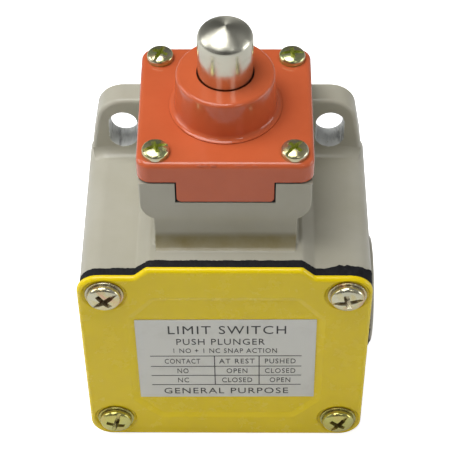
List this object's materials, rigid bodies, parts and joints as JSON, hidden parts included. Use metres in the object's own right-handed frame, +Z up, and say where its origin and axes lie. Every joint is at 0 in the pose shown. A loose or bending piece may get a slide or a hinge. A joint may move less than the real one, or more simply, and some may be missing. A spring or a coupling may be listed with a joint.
{
  "type": "plunger limit switch",
  "caption": "Plunger limit switch: die-cast box with slotted ears, screwed front cover, square head with a collar and a domed push plunger.",
  "frame": {"origin": "on the back mounting face, midway between the two mounting slots", "axes": "+Z up along the plunger, -Y out of the front cover, +X to the right of the cover; +Y is the back face's normal"},
  "size_m": [0.0665, 0.0465, 0.1078],
  "materials": {
    "housing_paint": "satin grey-beige enamel on die-cast alloy",
    "cover_paint": "gloss yellow",
    "head_paint": "gloss orange",
    "black_rubber": "matt",
    "zinc_passivated": "yellow-passivated zinc plate",
    "nickel": "turned, nickel plated",
    "label_foil": "satin foil",
    "bush_bronze": "turned",
    "spring_steel": "bright",
    "block_plastic": "moulded",
    "block_cover_plastic": "moulded",
    "stem_plastic": "moulded",
    "terminal_brass": "stamped",
    "contact_silver": "satin silver",
    "plain_steel": "zinc plated"
  },
  "bodies": {
    "housing": {"actuator_head": "head_paint", "contact_block_case": "block_plastic", "contact_block_cover": "block_cover_plastic", "contact_block_screw_washers": "plain_steel", "contact_block_screws": "plain_steel", "cover_gasket": "black_rubber", "cover_screw_washers": "zinc_passivated", "cover_screws": "zinc_passivated", "earth_clamp": "terminal_brass", "earth_screw": "plain_steel", "fixed_contacts": "contact_silver", "front_cover": "cover_paint", "guide_bush": "bush_bronze", "head_gasket": "black_rubber", "head_screws": "zinc_passivated", "housing": "housing_paint", "nc_terminals": "terminal_brass", "no_terminals": "terminal_brass", "plunger_wiper_seal": "black_rubber", "rating_label": "label_foil", "return_spring": "spring_steel", "spring_seat": "plain_steel", "stem_return_spring": "spring_steel", "terminal_clamps": "plain_steel", "terminal_screws": "plain_steel"},
    "plunger": {"plunger": "nickel", "plunger_snap_ring": "spring_steel", "spring_cap": "plain_steel"},
    "stem": {"contact_stem": "stem_plastic"},
    "bridge": {"contact_bridge": "terminal_brass", "bridge_contacts": "contact_silver", "contact_spring": "spring_steel"}
  },
  "joints": [
    {"name": "plunger_press", "type": "slide", "parent": "housing", "child": "plunger", "axis": [0, 0, -1], "range_m": [0, 0.0055], "stiffness_N_per_m": 900, "springref_m": -0.004, "deforming": ["return_spring"]},
    {"name": "stem_press", "type": "slide", "parent": "housing", "child": "stem", "axis": [0, 0, -1], "range_m": [0, 0.0055], "deforming": ["stem_return_spring", "contact_spring"]},
    {"name": "bridge_shift", "type": "slide", "parent": "housing", "child": "bridge", "axis": [0, 0, -1], "range_m": [0, 0.0022]}
  ],
  "couplings": [
    {"joint": "stem_press", "follows": "plunger_press", "ratio": 1},
    {"joint": "bridge_shift", "follows": "plunger_press", "ratio": 0.4}
  ]
}
